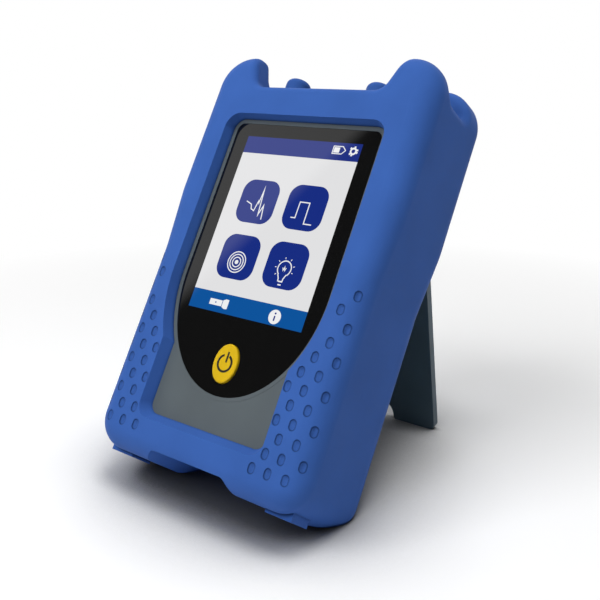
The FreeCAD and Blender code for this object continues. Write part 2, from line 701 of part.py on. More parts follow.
def charge_socket():
    """Metal shell with a flat mouth that looks up out of the connector bay."""
    half = SOCKET_WIDE / 2
    high = HOUSING_TOP
    shell = box(SOCKET_X - half, SOCKET_X + half, BOARD_BACK, BOARD_BACK + SOCKET_THICK,
                high - SOCKET_LONG, high)
    skin = 0.4
    mouth = box(SOCKET_X - half + skin, SOCKET_X + half - skin, BOARD_BACK + skin,
                BOARD_BACK + SOCKET_THICK - skin, high - SOCKET_LONG + 2, high)
    key = box(SOCKET_X - half + 1.6, SOCKET_X + half - 1.6, BOARD_BACK + 1.1,
              BOARD_BACK + SOCKET_THICK - 1.1, high - SOCKET_LONG + 1, high - 1.5)
    return fused([shell.cut(mouth), key])


def shield_can():
    return box(-SHIELD_HALF, SHIELD_HALF, BOARD_Y - SHIELD_THICK, BOARD_Y, SHIELD_LOW, SHIELD_HIGH)


def buzzer():
    return tube_y(BUZZER_RADIUS, BOARD_Y - BUZZER_THICK, BOARD_Y, BUZZER_X, BUZZER_Z)


def optics_module():
    shape = box(*OPTICS_X, BOARD_BACK, BOARD_BACK + MODULE_DEEP, MODULE_LOW, MODULE_HIGH)
    return soften(shape, 1.5, lambda b: b.YMin > BOARD_BACK)


def source_module():
    shape = box(*SOURCE_X, BOARD_BACK, BOARD_BACK + MODULE_DEEP - MODULE_GAP,
                MODULE_LOW + MODULE_GAP, MODULE_HIGH - SOURCE_DROP)
    return soften(shape, 1.0, lambda b: b.YMin > BOARD_BACK)


def fibre_spool():
    """Flanged ring that stores the launch fibre."""
    y = BOARD_BACK
    ring = tube_y(SPOOL_RADIUS, y, y + SPOOL_WIDE, 0, SPOOL_Z)
    groove = tube_y(SPOOL_RADIUS, y + 1.0, y + SPOOL_WIDE - 1.0, 0, SPOOL_Z)
    groove = groove.cut(tube_y(SPOOL_HOLE + 2, y, y + SPOOL_WIDE, 0, SPOOL_Z))
    hole = tube_y(SPOOL_HOLE, y, y + SPOOL_WIDE, 0, SPOOL_Z)
    return without(ring, [groove, hole])


def contact_block(grow):
    return box(-8 - grow, 8 + grow, BOARD_BACK, BATTERY_FRONT, SPOOL_Z - 4 - grow, SPOOL_Z + 4 + grow)


def battery_contacts():
    return contact_block(0)


def battery_pack():
    back = HOUSING_BACK - LID_THICK - FIT
    shape = box(-BATTERY_HALF, BATTERY_HALF, BATTERY_FRONT, back, BATTERY_LOW, BATTERY_HIGH)
    return soften(shape, 3.0, lambda b: b.ZLength < 1e-3 and b.XLength > 1 and b.YLength < 1e-3)


# ---- connector bay ----

def port_panel():
    outline = [
        (EAR_FOOT - RECESS_GAP, BAY_WALL + RECESS_GAP, 2.0),
        (EAR_FOOT - RECESS_GAP, BOOT_DEPTH - BAY_WALL - RECESS_GAP, 2.0),
    ]
    shape = prism(rounded_polygon(mirrored(outline), "XY", HOUSING_TOP), V(0, 0, PANEL_THICK))
    ports = [tube_z(PORT_BARREL + FIT, HOUSING_TOP, PANEL_TOP, x, PORT_Y) for x in PORT_X]
    screws = [tube_z(SMALL_SCREW_RADIUS, HOUSING_TOP, PANEL_TOP, x, y) for x, y in PANEL_SCREWS]
    return without(shape, ports + screws + [socket_hole()])


def screw_z(x, y, seat, length):
    body = tube_z(SMALL_SCREW_RADIUS, seat - length, seat, x, y)
    return body.fuse(tube_z(SMALL_HEAD_RADIUS, seat, seat + SMALL_HEAD, x, y)).removeSplitter()


def panel_screws():
    return [screw_z(x, y, PANEL_TOP, PANEL_SCREW_LONG) for x, y in PANEL_SCREWS]


def port_adapter(x):
    """Fibre adapter: square flange, threaded barrel above, body below, bored for its sleeve."""
    flange = box(x - FLANGE_HALF, x + FLANGE_HALF, PORT_Y - FLANGE_HALF, PORT_Y + FLANGE_HALF,
                 PANEL_TOP, FLANGE_TOP)
    flange = soften(flange, 1.0, lambda b: b.ZLength > 1)
    barrel = tube_z(PORT_BARREL, PANEL_TOP - BODY_LONG, PORT_TOP, x, PORT_Y)
    shape = fused([flange, barrel])
    grooves = []
    for turn in range(4):
        low = FLANGE_TOP + THREAD_LOW + turn * THREAD_PITCH
        ring = tube_z(PORT_BARREL + 1, low, low + THREAD_WIDE, x, PORT_Y)
        core = tube_z(PORT_BARREL - THREAD_DEEP, low, low + THREAD_WIDE, x, PORT_Y)
        grooves.append(ring.cut(core))
    bore = tube_z(SLEEVE_RADIUS, PANEL_TOP - BODY_LONG, PORT_TOP, x, PORT_Y)
    return without(shape, grooves + [bore])


def ferrule_sleeves():
    sleeves = []
    for x in PORT_X:
        low = PANEL_TOP - BODY_LONG + SLEEVE_INSET
        outer = tube_z(SLEEVE_RADIUS, low, PORT_TOP - 1, x, PORT_Y)
        sleeves.append(outer.cut(tube_z(PORT_BORE / 2, low, PORT_TOP, x, PORT_Y)))
    return sleeves


def dust_cap(x, high):
    """Rubber cap with a round top and a lip to pull it by."""
    low = FLANGE_TOP + FIT
    top = low + high
    inner = PORT_BARREL + FIT
    outer = inner + CAP_WALL
    body = tube_z(outer, low, top, x, PORT_Y)
    body = soften(body, CAP_ROUND, lambda b: b.ZMin > top - 1e-3)
    lip = tube_z(outer + CAP_LIP, low, low + CAP_LIP, x, PORT_Y)
    socket = tube_z(inner, low, PORT_TOP + FIT, x, PORT_Y)
    return fused([body, lip]).cut(socket)


# ---- kickstand ----

def hinge_axis(radius, half):
    """Rod along the hinge of the kickstand."""
    return Part.makeCylinder(radius, 2 * half, V(-half, HINGE_Y, HINGE_Z), V(1, 0, 0))


def stand_lugs():
    """Two ears on the rear housing that carry the hinge pin."""
    inside = STAND_NECK_HALF + LUG_GAP
    low = HINGE_Z - LUG_RADIUS
    foot = box(inside, inside + LUG_WIDE, HOUSING_BACK - 1, HINGE_Y, low, HINGE_Z + LUG_RADIUS)
    head = hinge_axis(LUG_RADIUS, HINGE_HALF).common(box(inside, inside + LUG_WIDE, 0, 99, 0, 999))
    return both_sides(fused([foot, head]))


def hinge_pin():
    return hinge_axis(PIN_RADIUS, HINGE_HALF + 0.3)


def kickstand():
    """Folding plate, modelled closed against the back and then swung open."""
    half_thick = STAND_THICK / 2
    front = HINGE_Y - half_thick
    low = HINGE_Z - STAND_LENGTH
    outline = [
        (STAND_NOTCH_HALF, low + STAND_NOTCH_HIGH, STAND_NOTCH_HIGH - 2.0),
        (STAND_NOTCH_HALF, low, 1.5),
        (STAND_HALF, low, STAND_CORNER),
        (STAND_HALF, HINGE_Z - STAND_SHOULDER, STAND_CORNER),
        (STAND_NECK_HALF, HINGE_Z - STAND_SHOULDER, 1.0),
        (STAND_NECK_HALF, HINGE_Z, 0),
    ]
    shape = plate(mirrored(outline), front, front + STAND_THICK)
    angle = math.radians(STAND_OPEN)
    heel = (half_thick + FIT - STOP_GAP - half_thick * math.cos(angle)) / math.sin(angle)
    heel_block = box(-STAND_NECK_HALF, STAND_NECK_HALF, front, HINGE_Y, HINGE_Z - 1, HINGE_Z + heel)
    barrel = hinge_axis(half_thick, STAND_NECK_HALF)
    shape = fused([shape, heel_block, barrel])
    shape = shape.cut(hinge_axis(PIN_RADIUS + PIN_FIT, HINGE_HALF))
    return swing(shape)


def swing(shape):
    """Turn a piece from the folded to the open position of the kickstand."""
    return shape.rotated(V(0, HINGE_Y, HINGE_Z), V(1, 0, 0), STAND_OPEN)


# ---- the whole instrument ----

def lean_angle():
    """Lean at which the heel and the tip of the kickstand stand on one plane."""
    angle = math.radians(STAND_OPEN)
    tip_y = HINGE_Y + STAND_LENGTH * math.sin(angle) - STAND_THICK / 2 * math.cos(angle)
    tip_z = HINGE_Z - STAND_LENGTH * math.cos(angle) - STAND_THICK / 2 * math.sin(angle)
    heel_y = BOOT_DEPTH - HEEL_RADIUS
    heel_z = HEEL_RADIUS
    distance = math.hypot(tip_y - heel_y, tip_z - heel_z)
    slope = math.atan2(tip_z - heel_z, tip_y - heel_y)
    return math.degrees(slope + math.asin(HEEL_RADIUS / distance))


def all_pieces():
    """Every node of the instrument, upright, by name."""
    groups = {
        "case_screws": case_screws(),
        "board_screws": board_screws(),
        "display_screws": display_screws(),
        "lid_screws": lid_screws(),
        "panel_screws": panel_screws(),
        "ferrule_sleeves": ferrule_sleeves(),
    }
    pieces = {name: Part.Compound(solids) for name, solids in groups.items()}
    pieces.update({
        "protective_boot": protective_boot(),
        "front_housing": front_housing(),
        "rear_housing": rear_housing(),
        "housing_gasket": housing_gasket(),
        "cover_glass": cover_glass(),
        "display_module": display_module(),
        "display_frame": display_frame(),
        "main_board": main_board(),
        "shield_can": shield_can(),
        "buzzer": buzzer(),
        "power_switch": power_switch(),
        "power_button": power_button(),
        "charge_socket": charge_socket(),
        "optics_module": optics_module(),
        "source_module": source_module(),
        "fibre_spool": fibre_spool(),
        "battery_contacts": battery_contacts(),
        "battery_pack": battery_pack(),
        "battery_lid": battery_lid(),
        "port_panel": port_panel(),
        "test_port": port_adapter(PORT_X[0]),
        "source_port": port_adapter(PORT_X[1]),
        "test_port_cap": dust_cap(PORT_X[0], CAP_HIGH[0]),
        "source_port_cap": dust_cap(PORT_X[1], CAP_HIGH[1]),
        "hinge_pin": hinge_pin(),
        "kickstand": kickstand(),
    })
    return pieces


def lean_back(shape):
    return shape.rotated(V(0, 0, 0), V(1, 0, 0), -lean_angle())


def ground_shift(pieces):
    """Move that puts the origin on the ground under the middle of the instrument."""
    whole = [pieces[name].optimalBoundingBox(False) for name in ("protective_boot", "kickstand")]
    middle = (min(b.YMin for b in whole) + max(b.YMax for b in whole)) / 2
    lean = math.radians(lean_angle())
    heel = HEEL_RADIUS * math.cos(lean) - (BOOT_DEPTH - HEEL_RADIUS) * math.sin(lean) - HEEL_RADIUS
    return V(0, -middle, -heel)


leaning = {name: lean_back(shape) for name, shape in all_pieces().items()}
shift = ground_shift(leaning)
for name, shape in leaning.items():
    shape.translated(shift).exportStep("parts/" + name + ".step")
print("lean", round(lean_angle(), 3), "shift", shift)
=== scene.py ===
# %% [markdown]
# # A hand-held fibre tester, dressed for the camera
# The tester is an optical time domain reflectometer: a touch-screen instrument in a blue rubber
# boot. It leans back on a fold-out stand. Its rigid parts come from the CAD model, which is
# loaded as a fixed frame. Blender gives each part its finish and adds what is printed, lit or
# inlaid: the screen picture and the power symbol.

import json
import math

import bmesh
import bpy
from mathutils import Matrix, Vector

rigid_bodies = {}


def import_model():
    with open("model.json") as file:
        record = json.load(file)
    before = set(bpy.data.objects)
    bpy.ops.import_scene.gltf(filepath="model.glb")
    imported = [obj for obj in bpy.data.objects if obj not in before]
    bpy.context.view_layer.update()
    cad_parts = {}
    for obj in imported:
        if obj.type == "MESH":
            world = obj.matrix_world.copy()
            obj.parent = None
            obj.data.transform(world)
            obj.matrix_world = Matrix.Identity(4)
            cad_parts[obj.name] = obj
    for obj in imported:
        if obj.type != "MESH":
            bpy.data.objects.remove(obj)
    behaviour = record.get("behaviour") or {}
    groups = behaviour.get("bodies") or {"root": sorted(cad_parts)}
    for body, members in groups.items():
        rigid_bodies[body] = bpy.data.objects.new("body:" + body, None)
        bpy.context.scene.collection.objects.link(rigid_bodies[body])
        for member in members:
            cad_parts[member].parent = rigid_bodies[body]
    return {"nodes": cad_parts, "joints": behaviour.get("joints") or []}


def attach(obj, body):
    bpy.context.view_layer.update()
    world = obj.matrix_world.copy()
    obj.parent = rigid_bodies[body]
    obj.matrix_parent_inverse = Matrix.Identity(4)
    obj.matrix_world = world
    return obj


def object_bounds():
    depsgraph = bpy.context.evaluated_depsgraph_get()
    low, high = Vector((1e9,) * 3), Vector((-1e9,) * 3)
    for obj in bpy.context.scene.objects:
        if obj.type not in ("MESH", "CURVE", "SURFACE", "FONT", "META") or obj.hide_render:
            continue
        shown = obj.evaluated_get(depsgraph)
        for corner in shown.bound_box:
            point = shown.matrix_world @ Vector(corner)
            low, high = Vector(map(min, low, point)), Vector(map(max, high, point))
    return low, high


for leftover in list(bpy.data.objects):
    bpy.data.objects.remove(leftover)
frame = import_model()
nodes = frame["nodes"]
CAD_MARK = "cad_"
for carried in list(bpy.data.materials):
    carried.name = CAD_MARK + carried.name
cad_low, cad_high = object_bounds()

# %% [markdown]
# ## The tester's own directions
# The tester stands tilted in the room, so a place on its face is easier to give in its own
# directions: to the right, up along the face, and out of the face. Two joints already hold those
# directions. The power button slides straight into the face, and the dust caps pull off along
# the body.

# %% Find the tester's own directions
MM = 0.001
axes = {joint["name"]: Vector(joint["axis"]).normalized() for joint in frame["joints"]}
RIGHT = Vector((1, 0, 0))
OUT = -axes["button_press"]
UP = axes["test_cap_pull"]


def reach(node, direction):
    """How far a node's own points reach along a direction: (least, most)."""
    places = [vertex.co.dot(direction) for vertex in nodes[node].data.vertices]
    return min(places), max(places)


GLASS_FRONT = reach("cover_glass", OUT)[1]
GLASS_BOTTOM, GLASS_TOP = reach("cover_glass", UP)
lean = math.degrees(math.atan2(UP.y, UP.z))
glass_tall = (GLASS_TOP - GLASS_BOTTOM) / MM
print("leans back by", round(lean, 2), "degrees; glass is", round(glass_tall, 1), "mm tall")

# %% [markdown]
# ## A drawing board on the glass
# Flat artwork is drawn on a board in millimetres: x to the right, y up from the top edge of the
# lit screen, z out of the glass. One matrix then lays each drawing on the glass, so nothing is
# measured twice.

# %% Set up the drawing board
SCREEN_WIDTH = 53.64
SCREEN_HEIGHT = 71.52
SCREEN_DROP = 5.3


def board(front, top):
    """The matrix that takes drawing-board millimetres to the tester's face."""
    origin = OUT * front + UP * top
    turn = Matrix((RIGHT, UP, OUT)).transposed().to_4x4()
    return Matrix.Translation(origin) @ turn @ Matrix.Scale(MM, 4)


SCREEN_TOP = GLASS_TOP - SCREEN_DROP * MM
ON_GLASS = board(GLASS_FRONT, SCREEN_TOP)
print("the lit screen's top edge is at", [round(v, 4) for v in ON_GLASS.translation])

# %% [markdown]
# ## From a bmesh to a finished piece
# Each small piece starts as a bmesh, is laid in place by a matrix, gets its finish and rides on
# a body of the frame. Doing that in one short function keeps every piece at the origin with its
# place in its own points.

# %% A helper that finishes a piece
SAME_POINT = 1e-7


def piece(name, shape, place, coat, body="tester"):
    """Makes an object of a bmesh, with its place, finish, slot and body."""
    bmesh.ops.transform(shape, matrix=place, verts=shape.verts)
    bmesh.ops.remove_doubles(shape, verts=shape.verts, dist=SAME_POINT)
    bmesh.ops.recalc_face_normals(shape, faces=shape.faces)
    mesh = bpy.data.meshes.new(name)
    shape.to_mesh(mesh)
    shape.free()
    mesh.materials.append(coat)
    made = bpy.data.objects.new(name, mesh)
    bpy.context.scene.collection.objects.link(made)
    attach(made, body)
    return made


print("pieces ride on the tester unless they say otherwise")

# %% [markdown]
# ## Flat shapes for screen artwork
# Screen artwork is thin plates, a few hundredths of a millimetre thick, each a little prouder
# than the one below. A plate can be a rounded tile or a disc, and it starts as one flat face
# that is extruded. Plates keep crisp edges at any distance, where a picture would blur.

# %% Tiles and discs
CORNER_STEPS = 8
ROUND_SIDES = 48
SMALL_SIDES = 24


def unit_square():
    """One square face, a unit wide."""
    shape = bmesh.new()
    bmesh.ops.create_grid(shape, x_segments=1, y_segments=1, size=0.5)
    return shape


def new_points(grown):
    """The points that an extrusion made."""
    return [item for item in grown["geom"] if isinstance(item, bmesh.types.BMVert)]


def raised(shape, centre, low, high):
    """Gives a flat outline its thickness and its place on the board."""
    bmesh.ops.translate(shape, vec=(centre[0], centre[1], low), verts=shape.verts)
    grown = bmesh.ops.extrude_face_region(shape, geom=list(shape.faces), use_keep_orig=True)
    bmesh.ops.translate(shape, vec=(0, 0, high - low), verts=new_points(grown))
    return shape


def tile(wide, tall, corner, centre, low, high):
    """A plate with rounded corners between two levels."""
    shape = unit_square()
    bmesh.ops.scale(shape, vec=(wide, tall, 1), verts=shape.verts)
    if corner > 0:
        bmesh.ops.bevel(
            shape,
            geom=shape.verts,
            affect="VERTICES",
            offset=corner,
            segments=CORNER_STEPS,
            profile=0.5,
            material=-1,
        )
    return raised(shape, centre, low, high)


def disc(radius, centre, low, high, sides=ROUND_SIDES):
    """A round plate between two levels."""
    shape = bmesh.new()
    bmesh.ops.create_circle(shape, cap_ends=True, radius=radius, segments=sides)
    return raised(shape, centre, low, high)


print("corners have", CORNER_STEPS, "steps and discs", ROUND_SIDES, "sides")

# %% [markdown]
# ## Rings and drawn lines
# A ring is a small section that is spun round its centre, all the way or through a part of a
# turn. A drawn line is a wire along its path that is raised to a ribbon and then given its
# width. Both are thin plates too, so they print like the tiles.

# %% Rings, strokes and joining
FULL_TURN = 360.0


def arc(radius, line, centre, low, high, start=0.0, sweep=FULL_TURN, steps=ROUND_SIDES):
    """A ring, or part of one, spun from its own small section."""
    shape = unit_square()
    upright = Matrix.Rotation(math.pi / 2, 3, "X")
    turned = Matrix.Rotation(math.radians(start), 3, "Z")
    bmesh.ops.scale(shape, vec=(line, high - low, 1), verts=shape.verts)
    bmesh.ops.rotate(shape, cent=(0, 0, 0), matrix=upright, verts=shape.verts)
    bmesh.ops.translate(shape, vec=(radius, 0, (low + high) / 2), verts=shape.verts)
    bmesh.ops.rotate(shape, cent=(0, 0, 0), matrix=turned, verts=shape.verts)
    whole = abs(sweep) >= FULL_TURN
    if whole:
        bmesh.ops.delete(shape, geom=list(shape.faces), context="FACES_ONLY")
    bmesh.ops.spin(
        shape,
        geom=list(shape.verts) + list(shape.edges) + list(shape.faces),
        cent=(0, 0, 0),
        axis=(0, 0, 1),
        angle=math.radians(sweep),
        steps=steps,
        use_merge=whole,
        use_duplicate=False,
    )
    bmesh.ops.translate(shape, vec=(centre[0], centre[1], 0), verts=shape.verts)
    return shape


def stroke(path, width, low, high):
    """A drawn line: a wire along the path, raised to a ribbon and thickened both ways."""
    shape = bmesh.new()
    point = bmesh.ops.create_vert(shape, co=(path[0][0], path[0][1], low))["vert"][0]
    for x, y in path[1:]:
        point = bmesh.ops.extrude_vert_indiv(shape, verts=[point])["verts"][0]
        point.co = (x, y, low)
    grown = bmesh.ops.extrude_edge_only(shape, edges=list(shape.edges))
    bmesh.ops.translate(shape, vec=(0, 0, high - low), verts=new_points(grown))
    bmesh.ops.recalc_face_normals(shape, faces=shape.faces)
    bmesh.ops.solidify(shape, geom=list(shape.faces), thickness=width)
    return shape


def joined(*shapes):
    """Puts several bmeshes into the first one."""
    first = shapes[0]
    for other in shapes[1:]:
        carrier = bpy.data.meshes.new("carrier")
        other.to_mesh(carrier)
        other.free()
        first.from_mesh(carrier)
        bpy.data.meshes.remove(carrier)
    return first


print("drawing helpers are ready")

# %% [markdown]
# ## Short names for nodes
# A finish is a tree of nodes, and the same few kinds come back in the rubber, the floor and the
# room. One short function for each kind keeps the finishes readable. A helper takes sockets and
# plain numbers, and gives back the socket that holds its result.

# %% Helpers for nodes


def coordinates(tree, kind="Object"):
    """Where a point lies, on the object's own coordinates unless another kind is asked."""
    return tree.nodes.new("ShaderNodeTexCoord").outputs[kind]


def math_node(tree, operation, first, second=0.0):
    """The result of one Math node of two sockets or numbers."""
    node = tree.nodes.new("ShaderNodeMath")
    node.operation = operation
    for socket, value in zip(node.inputs, (first, second)):
        if isinstance(value, float):
            socket.default_value = value
        else:
            tree.links.new(value, socket)
    return node.outputs[0]


def vector_node(tree, operation, place, direction=(0, 0, 0)):
    """One number from a place: its length, or how far it lies along a direction."""
    node = tree.nodes.new("ShaderNodeVectorMath")
    node.operation = operation
    node.inputs[1].default_value = direction
    tree.links.new(place, node.inputs[0])
    return node.outputs["Value"]


def step_of(tree, value, low, high, before=0.0, after=1.0):
    """One level below low, another above high, straight between."""
    ramp = tree.nodes.new("ShaderNodeMapRange")
    ramp.inputs["From Min"].default_value = low
    ramp.inputs["From Max"].default_value = high
    ramp.inputs["To Min"].default_value = before
    ramp.inputs["To Max"].default_value = after
    tree.links.new(value, ramp.inputs["Value"])
    return ramp.outputs["Result"]


def openness(tree, distance, samples):
    """One where a point is open all round, less in creases and close to other parts."""
    sky = tree.nodes.new("ShaderNodeAmbientOcclusion")
    sky.inputs["Distance"].default_value = distance
    sky.samples = samples
    return sky.outputs["AO"]


print("node helpers are ready")

# %% [markdown]
# ## Finishes and how they are built
# Every finish is a Principled shader with a little life in it: a noise on the object's own
# coordinates shifts the colour and the roughness, and a finer noise raises a moulded grain.
# Constants go straight on the shader's sockets. Object coordinates are in metres here, so a
# scale of 1000 gives features of a millimetre.

# %% Helpers for finishes
DRIFT_FROM, DRIFT_TO = 0.3, 0.7


def finish(name, colour, roughness, metallic=0.0, specular=0.5):
    """A new material with its plain values set."""
    made = bpy.data.materials.new(name)
    made.use_nodes = True
    shader = shader_of(made)
    shader.inputs["Base Color"].default_value = (*colour, 1)
    shader.inputs["Roughness"].default_value = roughness
    shader.inputs["Metallic"].default_value = metallic
    shader.inputs["Specular IOR Level"].default_value = specular
    return made


def shader_of(material):
    """The material's own Principled shader."""
    return material.node_tree.nodes["Principled BSDF"]


def speckle(material, per_metre, detail, stretch=(1, 1, 1)):
    """A noise on object coordinates."""
    tree = material.node_tree
    mapping = tree.nodes.new("ShaderNodeMapping")
    mapping.inputs["Scale"].default_value = stretch
    noise = tree.nodes.new("ShaderNodeTexNoise")
    noise.inputs["Scale"].default_value = per_metre
    noise.inputs["Detail"].default_value = detail
    tree.links.new(coordinates(tree), mapping.inputs["Vector"])
    tree.links.new(mapping.outputs["Vector"], noise.inputs["Vector"])
    return noise.outputs["Fac"]


def near(colour, factor):
    """A tint of a colour, darker or lighter."""
    return tuple(channel * factor for channel in colour)


def tint(material, source, colour, spread):
    """Lets the colour drift to both sides by a small share."""
    ramp = material.node_tree.nodes.new("ShaderNodeValToRGB")
    dark, light = ramp.color_ramp.elements
    dark.position, dark.color = DRIFT_FROM, (*near(colour, 1 - spread), 1)
    light.position, light.color = DRIFT_TO, (*near(colour, 1 + spread), 1)
    material.node_tree.links.new(source, ramp.inputs["Fac"])
    material.node_tree.links.new(ramp.outputs["Color"], shader_of(material).inputs["Base Color"])


def polish(material, source, low, high):
    """Lets the roughness drift between two values."""
    spread = step_of(material.node_tree, source, 0, 1, low, high)
    material.node_tree.links.new(spread, shader_of(material).inputs["Roughness"])


def grain(material, source, height, strength):
    """Raises a grain of a given height in metres."""
    bump = material.node_tree.nodes.new("ShaderNodeBump")
    bump.inputs["Distance"].default_value = height
    bump.inputs["Strength"].default_value = strength
    material.node_tree.links.new(source, bump.inputs["Height"])
    material.node_tree.links.new(bump.outputs["Normal"], shader_of(material).inputs["Normal"])


def shaded(material, shade):
    """Lays a shade over whatever already colours the material."""
    tree = material.node_tree
    colour = shader_of(material).inputs["Base Color"]
    scale = tree.nodes.new("ShaderNodeVectorMath")
    scale.operation = "SCALE"
    tree.links.new(colour.links[0].from_socket, scale.inputs["Vector"])
    tree.links.new(shade, scale.inputs["Scale"])
    tree.links.new(scale.outputs["Vector"], colour)


print("finish helpers are ready")

# %% [markdown]
# ## The boot's rubber
# The boot and the dust caps are moulded in a firm blue rubber. Such rubber is matt with a soft
# sheen, its colour is even but not dead flat, and the mould leaves a fine grain. Noises of three
# sizes do this: a broad one for colour, a middling one for sheen and a fine one for the grain.
# Ambient Occlusion darkens the colour in creases as painted shade, where less light gets in.

# %% Boot and cap rubber
BOOT_BLUE = (0.046, 0.126, 0.43)
RUBBER_SPECULAR = 0.05
RUBBER_DRIFT = 0.06
RUBBER_CLOUDS, RUBBER_SHEEN, RUBBER_GRAIN = 45, 180, 2600
RUBBER_GRAIN_HIGH = 0.00004
CREASE_OPEN = (0.6, 0.96)
CREASE_REACH = 0.0016
CREASE_PAINTED_SHADE = 0.32
CREASE_SAMPLES = 12


def blue_rubber(name, colour, roughness):
    """A firm matt rubber with painted shade darkening its creases."""
    made = finish(name, colour, roughness, specular=RUBBER_SPECULAR)
    tint(made, speckle(made, RUBBER_CLOUDS, 4), colour, RUBBER_DRIFT)
    polish(made, speckle(made, RUBBER_SHEEN, 3), roughness - 0.05, roughness + 0.07)
    grain(made, speckle(made, RUBBER_GRAIN, 2), RUBBER_GRAIN_HIGH, 0.35)
    # painted shade: Ambient Occlusion darkens the rubber in creases and next to other parts
    sky = openness(made.node_tree, CREASE_REACH, CREASE_SAMPLES)
    shaded(made, step_of(made.node_tree, sky, *CREASE_OPEN, CREASE_PAINTED_SHADE))
    return made


boot_rubber = blue_rubber("boot_rubber", BOOT_BLUE, 0.5)
cap_rubber = blue_rubber("cap_rubber", near(BOOT_BLUE, 0.9), 0.42)
print("rubber finishes:", boot_rubber.name, cap_rubber.name)

# %% [markdown]
# ## Where the grip dimples are
# The boot's grip has columns of small upright hollows on both sides of the face. Their places
# are in millimetres: a column's inset from the flank and the number of its hollows, the pitch
# from one hollow to the next, and how far the lowest row lies below the screen. Every second
# column starts half a pitch higher. Towards the flank the face rolls off on a round edge.

# %% Distance to the nearest dimple
GRIP_HALF = 49.0
GRIP_EDGE = 8.0
GRIP_COLUMNS = ((3.0, 6), (7.0, 6), (10.8, 4), (14.2, 4), (17.6, 3), (21.0, 1))
GRIP_PITCH = 11.7
GRIP_BELOW_SCREEN = 120.0
GRIP_RUN = 0.6


def along(tree, place, direction, zero):
    """Millimetres along one of the tester's directions, from a zero mark in metres."""
    far = vector_node(tree, "DOT_PRODUCT", place, direction / MM)
    return math_node(tree, "SUBTRACT", far, zero / MM)


def from_column(tree, across, deep, up, column):
    """Squared distance to the middle line of the nearest hollow of one column."""
    inset, count = GRIP_COLUMNS[column]
    turn = math.asin(max(0.0, GRIP_EDGE - inset) / GRIP_EDGE)
    lowest = GRIP_PITCH / 2 if column % 2 == 0 else 0.0
    rise = math_node(tree, "SUBTRACT", up, lowest)
    row = math_node(tree, "ROUND", math_node(tree, "DIVIDE", rise, GRIP_PITCH))
    row = math_node(tree, "MINIMUM", math_node(tree, "MAXIMUM", row, 0.0), float(count - 1))
    off = math_node(tree, "SUBTRACT", rise, math_node(tree, "MULTIPLY", row, GRIP_PITCH))
    off = math_node(tree, "SUBTRACT", math_node(tree, "ABSOLUTE", off), GRIP_RUN)
    total = 0.0
    for gap in (
        math_node(tree, "SUBTRACT", across, GRIP_HALF - inset),
        math_node(tree, "SUBTRACT", deep, GRIP_EDGE * (1 - math.cos(turn))),
        math_node(tree, "MAXIMUM", off, 0.0),
    ):
        total = math_node(tree, "ADD", math_node(tree, "MULTIPLY", gap, gap), total)
    return total


def from_dimples(tree):
    """Millimetres from the middle line of the nearest hollow of any column."""
    place = coordinates(tree)
    grip_bottom = GLASS_TOP - (SCREEN_DROP + GRIP_BELOW_SCREEN) * MM
    across = math_node(tree, "ABSOLUTE", along(tree, place, RIGHT, 0.0))
    deep = along(tree, place, -OUT, -reach("protective_boot", OUT)[1])
    up = along(tree, place, UP, grip_bottom)
    nearest = from_column(tree, across, deep, up, 0)
    for column in range(1, len(GRIP_COLUMNS)):
        other = from_column(tree, across, deep, up, column)
        nearest = math_node(tree, "MINIMUM", nearest, other)
    return math_node(tree, "SQRT", nearest)


print("the grip has", 2 * sum(count for inset, count in GRIP_COLUMNS), "dimples")

# %% [markdown]
# ## Crisp rims and painted rim shade on the grip dimples
# The mould cuts each hollow with a crisp rim. A rim a tenth of a millimetre wide is too fine for
# the mesh of the hollow, so the finish draws it there: where a point is about half a hollow's
# width from the hollow's middle line, the colour darkens as painted shade and the surface sinks
# a little.

# %% Rims of the grip dimples, with painted shade
RIM_MIDDLE = 1.22
RIM_HALF = 0.3
RIM_PAINTED_SHADE = 0.42
RIM_DEEP = 0.00025


def sink_and_shade_rims(material):
    """Paints shade along the rim of each grip hollow and sinks the rubber there."""
    tree = material.node_tree
    normal = shader_of(material).inputs["Normal"]
    off_rim = math_node(tree, "SUBTRACT", from_dimples(tree), RIM_MIDDLE)
    rim = math_node(tree, "DIVIDE", math_node(tree, "ABSOLUTE", off_rim), RIM_HALF)
    rim = math_node(tree, "MINIMUM", rim, 1.0)
    # painted shade: the colour darkens along each hollow's rim
    shaded(material, step_of(tree, rim, 0, 1, RIM_PAINTED_SHADE))
    bump = tree.nodes.new("ShaderNodeBump")
    bump.inputs["Distance"].default_value = RIM_DEEP
    tree.links.new(rim, bump.inputs["Height"])
    tree.links.new(normal.links[0].from_socket, bump.inputs["Normal"])
    tree.links.new(bump.outputs["Normal"], normal)


sink_and_shade_rims(boot_rubber)
print("rims are", 2 * RIM_HALF, "mm wide")

# %% [markdown]
# ## Moulded plastics
# The housing is a hard grey plastic with a spark-eroded texture, the stand a darker slate of the
# same kind. Hidden mouldings get the same recipe in their own colours, so that nothing is left
# plain if it is looked at.

# %% Moulded plastics
PLASTIC_DRIFT = 0.07
PLASTIC_CLOUDS, PLASTIC_SHEEN, PLASTIC_GRAIN = 60, 240, 1900
PLASTIC_GRAIN_HIGH = 0.00003


def moulded(
    name, colour, roughness, texture=PLASTIC_GRAIN, height=PLASTIC_GRAIN_HIGH, specular=0.45
):
    """A hard plastic with a fine texture from its mould."""
    made = finish(name, colour, roughness, specular=specular)
    tint(made, speckle(made, PLASTIC_CLOUDS, 4), colour, PLASTIC_DRIFT)
    polish(made, speckle(made, PLASTIC_SHEEN, 3), roughness - 0.06, roughness + 0.06)
    grain(made, speckle(made, texture, 3), height, 0.4)
    return made


